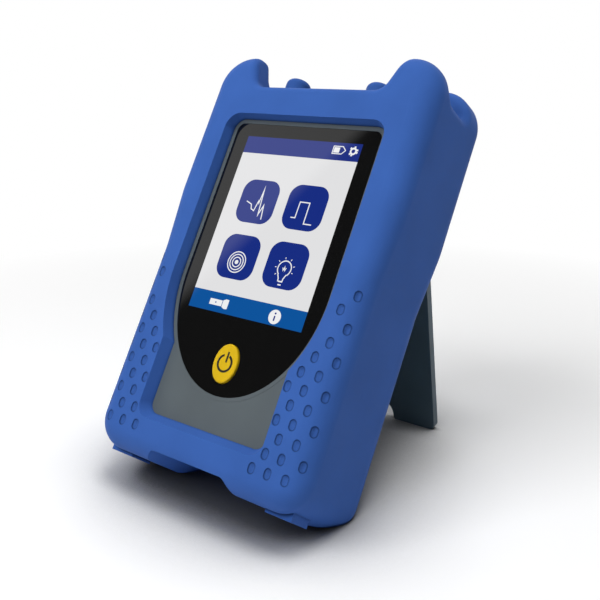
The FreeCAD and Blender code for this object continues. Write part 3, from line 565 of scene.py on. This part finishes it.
BUTTON_YELLOW = (0.71, 0.46, 0.006)
housing_plastic = moulded("housing_plastic", (0.096, 0.117, 0.128), 0.5)
panel_plastic = moulded("panel_plastic", (0.018, 0.020, 0.022), 0.5)
stand_plastic = moulded("stand_plastic", (0.042, 0.078, 0.108), 0.46)
moulded_black = moulded("moulded_black", (0.012, 0.012, 0.013), 0.45)
spool_plastic = moulded("spool_plastic", (0.62, 0.60, 0.55), 0.4)
button_plastic = moulded("button_plastic", BUTTON_YELLOW, 0.38, 1200, 0.000012, 0.25)
print("moulded finishes are ready")

# %% [markdown]
# ## Metals, ceramic and the rest
# The screws, hinge pin and shields are steel, with fine brushing along one way. The port barrels
# are nickel plated brass and the sleeves inside them white zirconia. The battery has a printed
# film, the board a green mask.

# %% Metals, ceramic, board and battery
BRUSHED_SHEEN, BRUSHED_GRAIN = 900, 1500
BRUSHED_HIGH = 0.00001


def brushed(name, colour, roughness, stretch):
    """A metal with fine lines, long along the small numbers of the stretch."""
    made = finish(name, colour, roughness, metallic=1.0)
    sheen = speckle(made, BRUSHED_SHEEN, 3, stretch)
    polish(made, sheen, roughness - 0.08, roughness + 0.1)
    grain(made, speckle(made, BRUSHED_GRAIN, 2, stretch), BRUSHED_HIGH, 0.3)
    return made


steel = brushed("steel", (0.56, 0.57, 0.58), 0.32, (1, 0.15, 0.15))
nickel = brushed("nickel", (0.66, 0.63, 0.58), 0.24, (1, 1, 0.2))
module_metal = brushed("module_metal", (0.42, 0.43, 0.45), 0.4, (0.2, 1, 1))
ceramic = moulded("ceramic", (0.82, 0.81, 0.77), 0.2, texture=3000, height=0.000004)
gasket_rubber = moulded("gasket_rubber", (0.02, 0.02, 0.021), 0.7)
board_laminate = moulded("board_laminate", (0.012, 0.095, 0.045), 0.35, texture=900)
battery_wrap = moulded("battery_wrap", (0.03, 0.05, 0.12), 0.3, texture=700)
print("metals and the rest are ready")

# %% [markdown]
# ## The cover glass
# The front of the tester is one sheet of glass, printed black on its back, so it looks like deep
# gloss black. A dark base with a very smooth surface gives that, and a faint noise in the
# roughness stands for finger marks.

# %% Cover glass
GLASS_BLACK = (0.0042, 0.0042, 0.0042)
GLASS_SMOOTH = 0.03
GLASS_SPECULAR = 0.5
FINGER_MARKS = 70
cover_glass = finish("cover_glass", GLASS_BLACK, GLASS_SMOOTH, specular=GLASS_SPECULAR)
marks = speckle(cover_glass, FINGER_MARKS, 4)
polish(cover_glass, marks, GLASS_SMOOTH - 0.01, GLASS_SMOOTH + 0.03)
display = finish("display", (0.02, 0.02, 0.024), 0.2)
polish(display, speckle(display, 300, 2), 0.15, 0.25)
print("glass is ready")

# %% [markdown]
# ## Every part gets its finish
# A part of the frame names the material it is made of, and each finish above bears such a name.
# So one loop dresses them all, and a part without a finish would stop the script.

# %% Give every frame part its finish
FINISHES = (
    boot_rubber, cap_rubber, housing_plastic, panel_plastic, cover_glass, display,
    button_plastic, stand_plastic, steel, nickel, ceramic, gasket_rubber, board_laminate,
    moulded_black, module_metal, spool_plastic, battery_wrap,
)  # fmt: skip
by_slot = {material.name: material for material in FINISHES}
for node in nodes.values():
    named = node.material_slots[0].material.name.removeprefix(CAD_MARK)
    node.material_slots[0].material = by_slot[named]
print("finishes given to", len(nodes), "parts")

# %% [markdown]
# ## What the screen shows
# The screen is lit from behind, so its picture is emission under smooth glass, and the glass
# still mirrors the room. Each tone gets the fine square pattern of a liquid-crystal panel's
# cells, too small to see from afar.

# %% Screen tones
WHITE_TONE = (0.86, 0.87, 0.88)
PAGE_TONE = (0.76, 0.76, 0.77)
HEADER_TONE = (0.012, 0.028, 0.22)
FOOTER_TONE = (0.002, 0.085, 0.33)
TILE_TONE = (0.007, 0.024, 0.22)
UNLIT = (0.001, 0.001, 0.001)
CELLS_PER_METRE = 9000
CELL_SHADE = 0.97


def lit(name, tone):
    """A tone of the lit screen under smooth glass."""
    made = finish(name, UNLIT, GLASS_SMOOTH, specular=GLASS_SPECULAR)
    tree = made.node_tree
    cells = tree.nodes.new("ShaderNodeTexChecker")
    cells.inputs["Scale"].default_value = CELLS_PER_METRE
    cells.inputs["Color1"].default_value = (*tone, 1)
    cells.inputs["Color2"].default_value = (*near(tone, CELL_SHADE), 1)
    tree.links.new(coordinates(tree), cells.inputs["Vector"])
    tree.links.new(cells.outputs["Color"], shader_of(made).inputs["Emission Color"])
    shader_of(made).inputs["Emission Strength"].default_value = 1.0
    return made


page_light = lit("page_light", PAGE_TONE)
header_light = lit("header_light", HEADER_TONE)
footer_light = lit("footer_light", FOOTER_TONE)
tile_light = lit("tile_light", TILE_TONE)
mark_light = lit("mark_light", WHITE_TONE)
print("screen tones are ready")

# %% [markdown]
# ## The screen picture
# The picture is a home page: a dark bar on top, a lighter bar at the foot and four tiles on a
# pale page. The bars and the page lie side by side and don't overlap, so no two plates share a
# face. The tiles stand a hair above the page, and the white marks a hair above the tiles.

# %% Page, bars and tiles
LAYER = 0.03
ON_SCREEN = (0, LAYER)
ON_PAGE = (LAYER, 2 * LAYER)
ON_TILE = (2 * LAYER, 3 * LAYER)
BAR = 7.0
FOOT = 7.5
PAGE = SCREEN_HEIGHT - BAR - FOOT
TILE_SIDE = 17.62
TILE_CORNER = 4.94
TILE_ACROSS = 11.2
TILE_ROWS = (-26.58, -49.2)
BANDS = (
    ("screen_header", BAR, -BAR / 2, header_light),
    ("screen_page", PAGE, -BAR - PAGE / 2, page_light),
    ("screen_footer", FOOT, FOOT / 2 - SCREEN_HEIGHT, footer_light),
)


def screen_piece(name, shape, light):
    """A plate of the lit picture, laid on the glass."""
    return piece(name, shape, ON_GLASS, light)


for name, tall, middle, light in BANDS:
    screen_piece(name, tile(SCREEN_WIDTH, tall, 0, (0, middle), *ON_SCREEN), light)
tile_centres = [(side * TILE_ACROSS, row) for row in TILE_ROWS for side in (-1, 1)]
for number, centre in enumerate(tile_centres, 1):
    plate = tile(TILE_SIDE, TILE_SIDE, TILE_CORNER, centre, *ON_PAGE)
    screen_piece(f"screen_tile_{number}", plate, tile_light)
print("page", round(SCREEN_WIDTH, 1), "x", round(PAGE, 1), "mm, with", len(tile_centres), "tiles")

# %% [markdown]
# ## Line drawings on the tiles
# Each tile carries a line drawing of what it opens. The first two are a trace with a spike and
# the step of a pulse, each one stroke. The third is a fibre's cut end, a dot in its rings.

# %% Trace, pulse and rings
LINE = 0.42
TRACE = (
    (-5.3, -0.5), (-2.7, -1.5), (-2.1, -3.3), (-0.3, -4.1), (0.5, -0.4), (0.9, -1.2),
    (1.3, 2.6), (2.1, -6.1), (3.4, -2.2), (4.1, -6.9),
)  # fmt: skip
PULSE = ((-5.0, -4.5), (-2.8, -4.5), (-2.7, 1.8), (1.25, 1.8), (1.35, -6.4), (5.0, -6.4))
RINGS = (4.1, 3.05, 1.9)
RINGS_DOT = 0.85
RINGS_DROP = 2.1


def shifted(path, centre):
    """A path moved to its own centre."""
    return [(centre[0] + x, centre[1] + y) for x, y in path]


def fibre_rings(centre):
    """Rings round a dot, as a fibre's cut end looks under a microscope."""
    eye = (centre[0], centre[1] - RINGS_DROP)
    rings = [arc(radius, LINE, eye, *ON_TILE) for radius in RINGS]
    return joined(disc(RINGS_DOT, eye, *ON_TILE), *rings)


trace_tile, pulse_tile, rings_tile, lamp_tile = tile_centres
screen_piece("mark_trace", stroke(shifted(TRACE, trace_tile), LINE, *ON_TILE), mark_light)
screen_piece("mark_pulse", stroke(shifted(PULSE, pulse_tile), LINE, *ON_TILE), mark_light)
screen_piece("mark_rings", fibre_rings(rings_tile), mark_light)
print("tile marks drawn with a line of", LINE, "mm")

# %% [markdown]
# ## The lamp on the fourth tile
# The fourth mark is a light bulb: an open ring for the glass, a neck on each side, two short
# lines for the cap, a zigzag filament and short rays round it. They use the same strokes and
# arcs, so all four marks read as one family.

# %% Lamp
LAMP_RADIUS = 2.95
LAMP_DROP = 1.2
LAMP_START, LAMP_SWEEP, LAMP_STEPS = -52, 284, 40
LAMP_NECK = ((1.82, -2.32), (1.05, -3.9), (0.95, -5.0))
LAMP_CAP = ((0.95, -5.2), (0.7, -5.95))
CAP_LINE = 0.5
FILAMENT = ((-0.9, 0.3), (-0.35, -1.2), (0.0, 0.1), (0.35, -1.2), (0.9, 0.3))
FINE_LINE = 0.28
RAY_TURNS = range(-20, 221, 40)
RAY_FROM, RAY_TO = 0.75, 1.4


def spoke(centre, turn, near_end, far_end, width, levels):
    """A straight stroke that points away from a centre."""
    ray = Vector((math.cos(turn), math.sin(turn)))
    ends = [Vector(centre) + ray * far for far in (near_end, far_end)]
    return stroke([(end.x, end.y) for end in ends], width, *levels)


def lamp(centre):
    """A light bulb with short rays round it."""
    eye = Vector((centre[0], centre[1] - LAMP_DROP))
    parts = [arc(LAMP_RADIUS, LINE, eye, *ON_TILE, LAMP_START, LAMP_SWEEP, LAMP_STEPS)]
    for side in (-1, 1):
        neck = [(side * x, y) for x, y in LAMP_NECK]
        parts.append(stroke(shifted(neck, eye), LINE, *ON_TILE))
    for half, drop in LAMP_CAP:
        rung = ((-half, drop), (half, drop))
        parts.append(stroke(shifted(rung, eye), CAP_LINE, *ON_TILE))
    parts.append(stroke(shifted(FILAMENT, eye), FINE_LINE, *ON_TILE))
    for turn in RAY_TURNS:
        near_end, far_end = LAMP_RADIUS + RAY_FROM, LAMP_RADIUS + RAY_TO
        parts.append(spoke(eye, math.radians(turn), near_end, far_end, FINE_LINE, ON_TILE))
    return joined(*parts)


screen_piece("mark_lamp", lamp(lamp_tile), mark_light)
print("lamp has", len(RAY_TURNS), "rays")

# %% [markdown]
# ## Marks on the top bar
# The top bar has a battery gauge and a cog. The gauge is an outline with a pointed end and a
# block inside for the charge. The cog is a ring with short spokes for its teeth.

# %% Battery gauge and cog
BATTERY = ((14.6, -1.3), (18.9, -1.3), (20.5, -2.95), (18.9, -4.6), (14.6, -4.6), (14.6, -1.3))
BATTERY_LINE = 0.34
CHARGE_WIDE, CHARGE_TALL, CHARGE_CORNER = 2.5, 2.1, 0.2
CHARGE_CENTRE = (16.4, -2.95)
COG_CENTRE = (23.65, -3.0)
COG_RING = 1.12
COG_LINE = 0.72
COG_TEETH = 6
COG_TURN = 30
TOOTH_FROM, TOOTH_TO = 1.45, 1.95


def cog(centre):
    """A ring with square teeth."""
    shape = arc(COG_RING, COG_LINE, centre, *ON_PAGE)
    for tooth in range(COG_TEETH):
        turn = math.radians(FULL_TURN / COG_TEETH * tooth + COG_TURN)
        shape = joined(shape, spoke(centre, turn, TOOTH_FROM, TOOTH_TO, COG_LINE, ON_PAGE))
    return shape


charge = tile(CHARGE_WIDE, CHARGE_TALL, CHARGE_CORNER, CHARGE_CENTRE, *ON_PAGE)
screen_piece("mark_battery", stroke(BATTERY, BATTERY_LINE, *ON_PAGE), mark_light)
screen_piece("mark_charge", charge, mark_light)
screen_piece("mark_cog", cog(COG_CENTRE), mark_light)
print("cog has", COG_TEETH, "teeth")

# %% [markdown]
# ## Marks on the foot bar
# The foot bar has a torch and an information dot. The torch is a rounded body with a flared head
# and a small round key in the bar's own tone. The information sign is cut in the tiles' blue.

# %% Torch and information dot
TORCH_CENTRE = (-14.3, -67.9)
TORCH_LONG, TORCH_TALL, TORCH_CORNER = 6.0, 2.3, 0.15
TORCH_HEAD = ((3.3, -1.3), (4.6, -1.9), (6.0, -1.75), (6.0, 1.75), (4.6, 1.9), (3.3, 1.3))
TORCH_KEY = 0.32
INFO_CENTRE = (13.94, -68.3)
INFO_RADIUS = 2.68
INFO_DOT = 0.38
INFO_DOT_UP = 1.3
INFO_STEM_WIDE, INFO_STEM_TALL, INFO_STEM_CORNER = 0.62, 1.9, 0.1
INFO_STEM_UP = -0.55


def flat_shape(corners):
    """One flat face through its corners."""
    shape = bmesh.new()
    points = [bmesh.ops.create_vert(shape, co=(x, y, 0))["vert"][0] for x, y in corners]
    bmesh.ops.contextual_create(shape, geom=points)
    return shape


torch_body = tile(TORCH_LONG, TORCH_TALL, TORCH_CORNER, TORCH_CENTRE, *ON_PAGE)
torch_head = raised(flat_shape(TORCH_HEAD), TORCH_CENTRE, *ON_PAGE)
torch_key = disc(TORCH_KEY, TORCH_CENTRE, *ON_TILE, SMALL_SIDES)
screen_piece("mark_torch", joined(torch_body, torch_head), mark_light)
screen_piece("mark_torch_key", torch_key, footer_light)
dot_centre, stem_centre = shifted(((0, INFO_DOT_UP), (0, INFO_STEM_UP)), INFO_CENTRE)
info_dot = disc(INFO_DOT, dot_centre, *ON_TILE, SMALL_SIDES)
info_stem = tile(INFO_STEM_WIDE, INFO_STEM_TALL, INFO_STEM_CORNER, stem_centre, *ON_TILE)
screen_piece("mark_info", disc(INFO_RADIUS, INFO_CENTRE, *ON_PAGE), mark_light)
screen_piece("mark_info_sign", joined(info_dot, info_stem), tile_light)
print("bar marks drawn")

# %% [markdown]
# ## The power symbol
# The yellow button is printed with the usual symbol, an open ring with a stroke in its gap. It
# rides on the button's own body, so it goes in with the button when that is pressed.

# %% Power symbol
POWER_RADIUS = 3.05
POWER_LINE = 0.85
POWER_GAP = 46
POWER_BAR = ((0, 0.4), (0, 4.4))
POWER_BAR_LINE = 0.75
PRINT = (0, 0.04)
QUARTER_TURN = 90
button_front = reach("power_button", OUT)[1]
button_low, button_high = reach("power_button", UP)
on_button = board(button_front, (button_low + button_high) / 2)
black_print = moulded("black_print", (0.006, 0.006, 0.006), 0.4, texture=900, height=0.000006)
gap_end, ring_sweep = QUARTER_TURN + POWER_GAP / 2, FULL_TURN - POWER_GAP
power_ring = arc(POWER_RADIUS, POWER_LINE, (0, 0), *PRINT, start=gap_end, sweep=ring_sweep)
power_symbol = joined(power_ring, stroke(POWER_BAR, POWER_BAR_LINE, *PRINT))
piece("power_symbol", power_symbol, on_button, black_print, "button")
print("power symbol is", round(2 * POWER_RADIUS + POWER_LINE, 2), "mm across")

# %% [markdown]
# ## The studio
# Tester and floor are lit plainly, but what surrounds them has to look white. So the surround
# has two faces. To the camera, and to anything that mirrors or lets light through, it is a white
# room. To everything else it is a weak even fill, which keeps the colours as they are written.
# Light Path tells one kind of ray from the other.

# %% Helpers for floor and room


def any_of(tree, *sources):
    """The largest of several sockets, so one where any of them is one."""
    total = sources[0]
    for source in sources[1:]:
        total = math_node(tree, "MAXIMUM", total, source)
    return total


def white_room_rays(tree):
    """One for rays from the camera, a gloss or glass, nought for the rest."""
    kinds = tree.nodes.new("ShaderNodeLightPath").outputs
    return any_of(
        tree, kinds["Is Camera Ray"], kinds["Is Glossy Ray"], kinds["Is Transmission Ray"]
    )


def mixed(tree, factor, first, second):
    """One shader fading into another."""
    mixer = tree.nodes.new("ShaderNodeMixShader")
    tree.links.new(factor, mixer.inputs["Fac"])
    tree.links.new(first.outputs[0], mixer.inputs[1])
    tree.links.new(second.outputs[0], mixer.inputs[2])
    return mixer


def plain_shader(tree, kind, level):
    """A diffuse, emission or background shader of one grey level."""
    shader = tree.nodes.new(kind)
    shader.inputs["Color"].default_value = (level, level, level, 1)
    return shader


print("studio helpers are ready")

# %% [markdown]
# ## The floor
# The floor is one large sheet. Near the tester it is matt white and takes the soft shadow.
# Further out it fades into a sheet that glows white, so it meets the white room with no horizon,
# however far the lamps reach. Where the sole and the stand touch it, Ambient Occlusion deepens
# the shadow.

# %% Floor sheet
FLOOR_SIZE = 8.0
FLOOR_SQUARES = 4
floor_shape = bmesh.new()
bmesh.ops.create_grid(
    floor_shape, x_segments=FLOOR_SQUARES, y_segments=FLOOR_SQUARES, size=FLOOR_SIZE / 2
)
floor_mesh = bpy.data.meshes.new("floor")
floor_shape.to_mesh(floor_mesh)
floor_shape.free()
floor = bpy.data.objects.new("floor", floor_mesh)
bpy.context.scene.collection.objects.link(floor)
print("floor is", FLOOR_SIZE, "m wide")

# %% Floor paint
FLOOR_WHITE = 0.8
FLOOR_SEEN = 1.15
FLOOR_TOUCHED = 0.08
FADE_START, FADE_END = 0.16, 0.42
TOUCH_REACH = 0.06
TOUCH_OPEN = (0.28, 0.96)
TOUCH_SAMPLES = 16
floor_paint = bpy.data.materials.new("floor_paint")
floor_paint.use_nodes = True
sheet = floor_paint.node_tree
sheet.nodes.clear()
away = vector_node(sheet, "LENGTH", coordinates(sheet))
faded = step_of(sheet, away, FADE_START, FADE_END)
near_floor = plain_shader(sheet, "ShaderNodeBsdfDiffuse", FLOOR_SEEN)
open_floor = openness(sheet, TOUCH_REACH, TOUCH_SAMPLES)
shadowed = step_of(sheet, open_floor, *TOUCH_OPEN, FLOOR_TOUCHED, FLOOR_SEEN)
sheet.links.new(shadowed, near_floor.inputs["Color"])
far_floor = plain_shader(sheet, "ShaderNodeEmission", 1.0)
seen_floor = mixed(sheet, faded, near_floor, far_floor)
lit_floor = plain_shader(sheet, "ShaderNodeBsdfDiffuse", FLOOR_WHITE)
whole_floor = mixed(sheet, white_room_rays(sheet), lit_floor, seen_floor)
floor_output = sheet.nodes.new("ShaderNodeOutputMaterial")
sheet.links.new(whole_floor.outputs[0], floor_output.inputs["Surface"])
floor_mesh.materials.append(floor_paint)
print("floor fades from", FADE_START, "to", FADE_END, "m")

# %% [markdown]
# ## The room and its dark ceiling
# Black glass shows whatever it mirrors. A white wall stands to the left, and its upright edge
# cuts the reflection on the glass into a pale and a deep black part. In front, above head
# height, the mirrors see a dark ceiling. All round the horizon they see white, as the camera
# does.

# %% Surround
SURROUND_FILL = 0.22
CEILING = 0.04
WALL_EDGE = Vector((-0.61, 0.791, 0.049))
WALL_SOFT = 0.008
HORIZON_HIGH = (0.16, 0.3)
world = bpy.data.worlds.new("surround")
bpy.context.scene.world = world
world.use_nodes = True
room = world.node_tree
fill = room.nodes["Background"]
fill.inputs["Color"].default_value = (1, 1, 1, 1)
fill.inputs["Strength"].default_value = SURROUND_FILL
towards = coordinates(room, "Generated")
past_edge = vector_node(room, "DOT_PRODUCT", towards, WALL_EDGE)
on_wall = step_of(room, past_edge, -WALL_SOFT, WALL_SOFT)
height = room.nodes.new("ShaderNodeSeparateXYZ")
room.links.new(towards, height.inputs["Vector"])
below = math_node(room, "SUBTRACT", 1.0, step_of(room, height.outputs["Z"], *HORIZON_HIGH))
seen_straight = room.nodes.new("ShaderNodeLightPath").outputs["Is Camera Ray"]
white_part = any_of(room, on_wall, below, seen_straight)
ceiling = plain_shader(room, "ShaderNodeBackground", CEILING)
wall = plain_shader(room, "ShaderNodeBackground", 1.0)
seen_room = mixed(room, white_part, ceiling, wall)
whole_room = mixed(room, white_room_rays(room), fill, seen_room)
room.links.new(whole_room.outputs[0], room.nodes["World Output"].inputs["Surface"])
print("surround fills shadows at", SURROUND_FILL)

# %% [markdown]
# ## Two soft lamps
# A large lamp in front, to the left and above lights the face. A second one overhead lights the
# floor and draws the shadow under the tester. Both are hidden from glossy rays, because the room
# already gives the reflections.

# %% Lamps
TESTER_MIDDLE = (cad_low + cad_high) / 2
LAMP_AWAY = 1.0


def soft_lamp(name, azimuth, elevation, wide, watts):
    """A square lamp that faces the tester from a direction."""
    turn, rise = math.radians(azimuth), math.radians(elevation)
    level = math.cos(rise)
    side = Vector((math.sin(turn) * level, -math.cos(turn) * level, math.sin(rise)))
    light = bpy.data.lights.new(name, "AREA")
    light.shape = "SQUARE"
    light.size = wide
    light.energy = watts
    made = bpy.data.objects.new(name, light)
    bpy.context.scene.collection.objects.link(made)
    made.location = TESTER_MIDDLE + side * LAMP_AWAY
    made.rotation_euler = (-side).to_track_quat("-Z", "Y").to_euler()
    made.visible_glossy = False


soft_lamp("key_lamp", azimuth=-22, elevation=42, wide=0.6, watts=5.3)
soft_lamp("top_lamp", azimuth=80, elevation=80, wide=0.4, watts=4.6)
print("lamps stand", LAMP_AWAY, "m away")

# %% [markdown]
# ## The camera
# The camera looks down a little on the tester from its front right, with a normal lens at about
# a third of a metre, so the face and the right flank both show.

# %% Camera
CAMERA_PLACE = Vector((0.184234, -0.239903, 0.15777))
CAMERA_LOOK = Vector((-0.57336, 0.76714, -0.28768))
LENS = 48.47
NEAREST_SEEN = 0.01
camera = bpy.data.objects.new("camera", bpy.data.cameras.new("camera"))
bpy.context.scene.collection.objects.link(camera)
camera.location = CAMERA_PLACE
camera.rotation_euler = CAMERA_LOOK.to_track_quat("-Z", "Y").to_euler()
camera.data.lens = LENS
camera.data.clip_start = NEAREST_SEEN
bpy.context.scene.camera = camera
bpy.context.scene.view_settings.view_transform = "Standard"
camera_away = (CAMERA_PLACE - TESTER_MIDDLE).length
print("camera stands", round(camera_away, 3), "m from the tester's middle")
